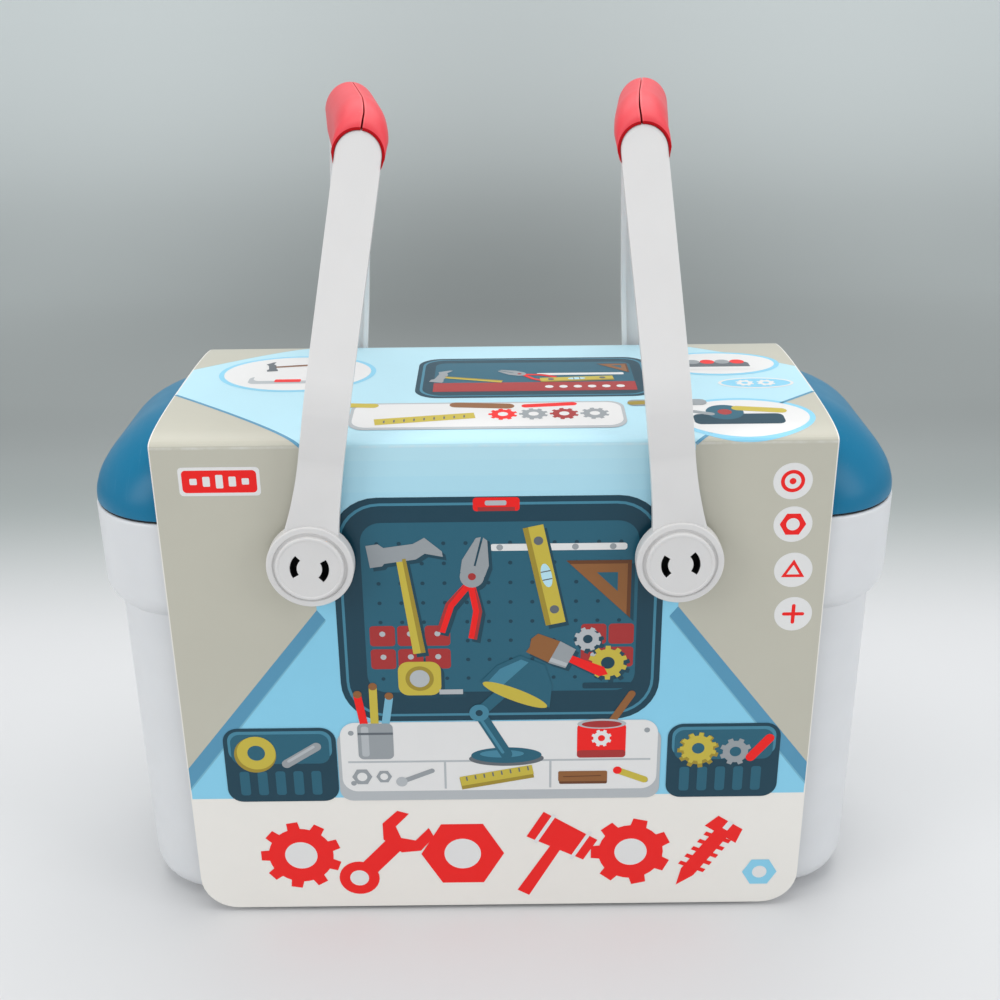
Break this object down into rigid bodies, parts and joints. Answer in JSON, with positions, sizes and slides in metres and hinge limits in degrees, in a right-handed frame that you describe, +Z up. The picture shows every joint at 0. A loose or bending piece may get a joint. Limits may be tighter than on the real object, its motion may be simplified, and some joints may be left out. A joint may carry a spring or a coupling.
{
  "type": "toy tool box",
  "caption": "Rectangular toy tool box with a domed lid, two folding carry handles, a printed card sleeve and toy tools packed inside.",
  "frame": {"origin": "middle of the base, on the surface that the box stands on", "axes": "+Z up, +X along the box to the right as seen from the front, the front faces -Y"},
  "size_m": [0.3544, 0.1586, 0.3722],
  "materials": {
    "shell_white": "satin moulded",
    "lid_blue": "satin moulded",
    "grip_red": "satin moulded",
    "card_print": "printed and varnished",
    "tool_dark_blue": "satin moulded",
    "tool_light_blue": "satin moulded",
    "tool_yellow": "satin moulded",
    "tool_grey": "satin moulded",
    "tool_red": "satin moulded",
    "tool_brown": "matt moulded with a grain",
    "pin_steel": "bright drawn"
  },
  "bodies": {
    "box": {"tub": "shell_white", "lid": "lid_blue", "lid_hinge_pin_left": "pin_steel", "lid_hinge_pin_right": "pin_steel", "lid_latch": "tool_red", "lid_latch_pin": "pin_steel", "card_sleeve": "card_print", "work_tray": "shell_white", "side_tray_left": "tool_dark_blue", "side_tray_right": "tool_dark_blue", "lid_peg_rail": "shell_white", "rack_basket": "shell_white", "press_body": "tool_dark_blue", "vise_base": "tool_dark_blue", "vise_fixed_jaw": "tool_red", "drill_shell_upper": "tool_yellow", "drill_shell_lower": "tool_yellow", "driver_handle": "tool_yellow", "driver_shaft": "pin_steel", "driver_knob": "tool_yellow", "hex_bolt_1": "tool_grey", "hex_bolt_2": "tool_grey", "square_nut": "tool_grey", "wrench_head": "tool_grey", "wrench_handle": "tool_yellow", "saw_blade": "tool_grey", "saw_handle": "tool_yellow", "wood_strip_1": "tool_brown", "wood_strip_2": "tool_brown", "knife_handle": "tool_yellow", "knife_blade": "tool_grey"},
    "handle_left": {"handle_left_front_arm": "shell_white", "handle_left_rear_arm": "shell_white", "handle_left_bar": "shell_white", "handle_left_grip_outer": "grip_red", "handle_left_grip_inner": "grip_red"},
    "handle_right": {"handle_right_front_arm": "shell_white", "handle_right_rear_arm": "shell_white", "handle_right_bar": "shell_white", "handle_right_grip_outer": "grip_red", "handle_right_grip_inner": "grip_red"},
    "drill_chuck_and_bit": {"drill_chuck": "tool_grey", "drill_bit": "pin_steel"},
    "drill_trigger": {"drill_trigger": "tool_grey"},
    "vise_jaw": {"vise_moving_jaw": "tool_red"},
    "vise_screw_and_wheel": {"vise_screw": "tool_grey", "vise_wheel": "tool_light_blue"},
    "press_spindle": {"press_quill": "tool_light_blue"},
    "press_lever": {"press_lever": "tool_light_blue"}
  },
  "joints": [
    {"name": "handle_left_swing", "type": "hinge", "parent": "box", "child": "handle_left", "pos_m": [-0.0774, 0, 0.1874], "axis": [0, 1, 0], "range_deg": [-114, 12.4]},
    {"name": "handle_right_swing", "type": "hinge", "parent": "box", "child": "handle_right", "pos_m": [0.0774, 0, 0.1874], "axis": [0, -1, 0], "range_deg": [-113, 15.4]},
    {"name": "drill_chuck_spin", "type": "hinge", "parent": "box", "child": "drill_chuck_and_bit", "pos_m": [0.0996, -0.0173, 0.0188], "axis": [0, -1, 0], "continuous": true},
    {"name": "drill_trigger_pull", "type": "slide", "parent": "box", "child": "drill_trigger", "axis": [-1, 0, 0], "range_m": [0, 0.003], "stiffness_N_per_m": 150, "springref_m": -0.001},
    {"name": "vise_jaw_slide", "type": "slide", "parent": "box", "child": "vise_jaw", "axis": [-1, 0, 0], "range_m": [0, 0.012]},
    {"name": "vise_screw_turn", "type": "hinge", "parent": "vise_jaw", "child": "vise_screw_and_wheel", "pos_m": [0.022, 0.016, 0.0285], "axis": [-1, 0, 0], "range_deg": [0, 720]},
    {"name": "press_lever_turn", "type": "hinge", "parent": "box", "child": "press_lever", "pos_m": [-0.0673, 0.014, 0.0875], "axis": [1, 0, 0], "range_deg": [0, 60]},
    {"name": "press_spindle_slide", "type": "slide", "parent": "box", "child": "press_spindle", "axis": [0, 0, -1], "range_m": [0, 0.012]}
  ],
  "couplings": [
    {"joint": "vise_screw_turn", "follows": "vise_jaw_slide", "rad_per_m": 1047.2},
    {"joint": "press_lever_turn", "follows": "press_spindle_slide", "rad_per_m": 87.26}
  ]
}
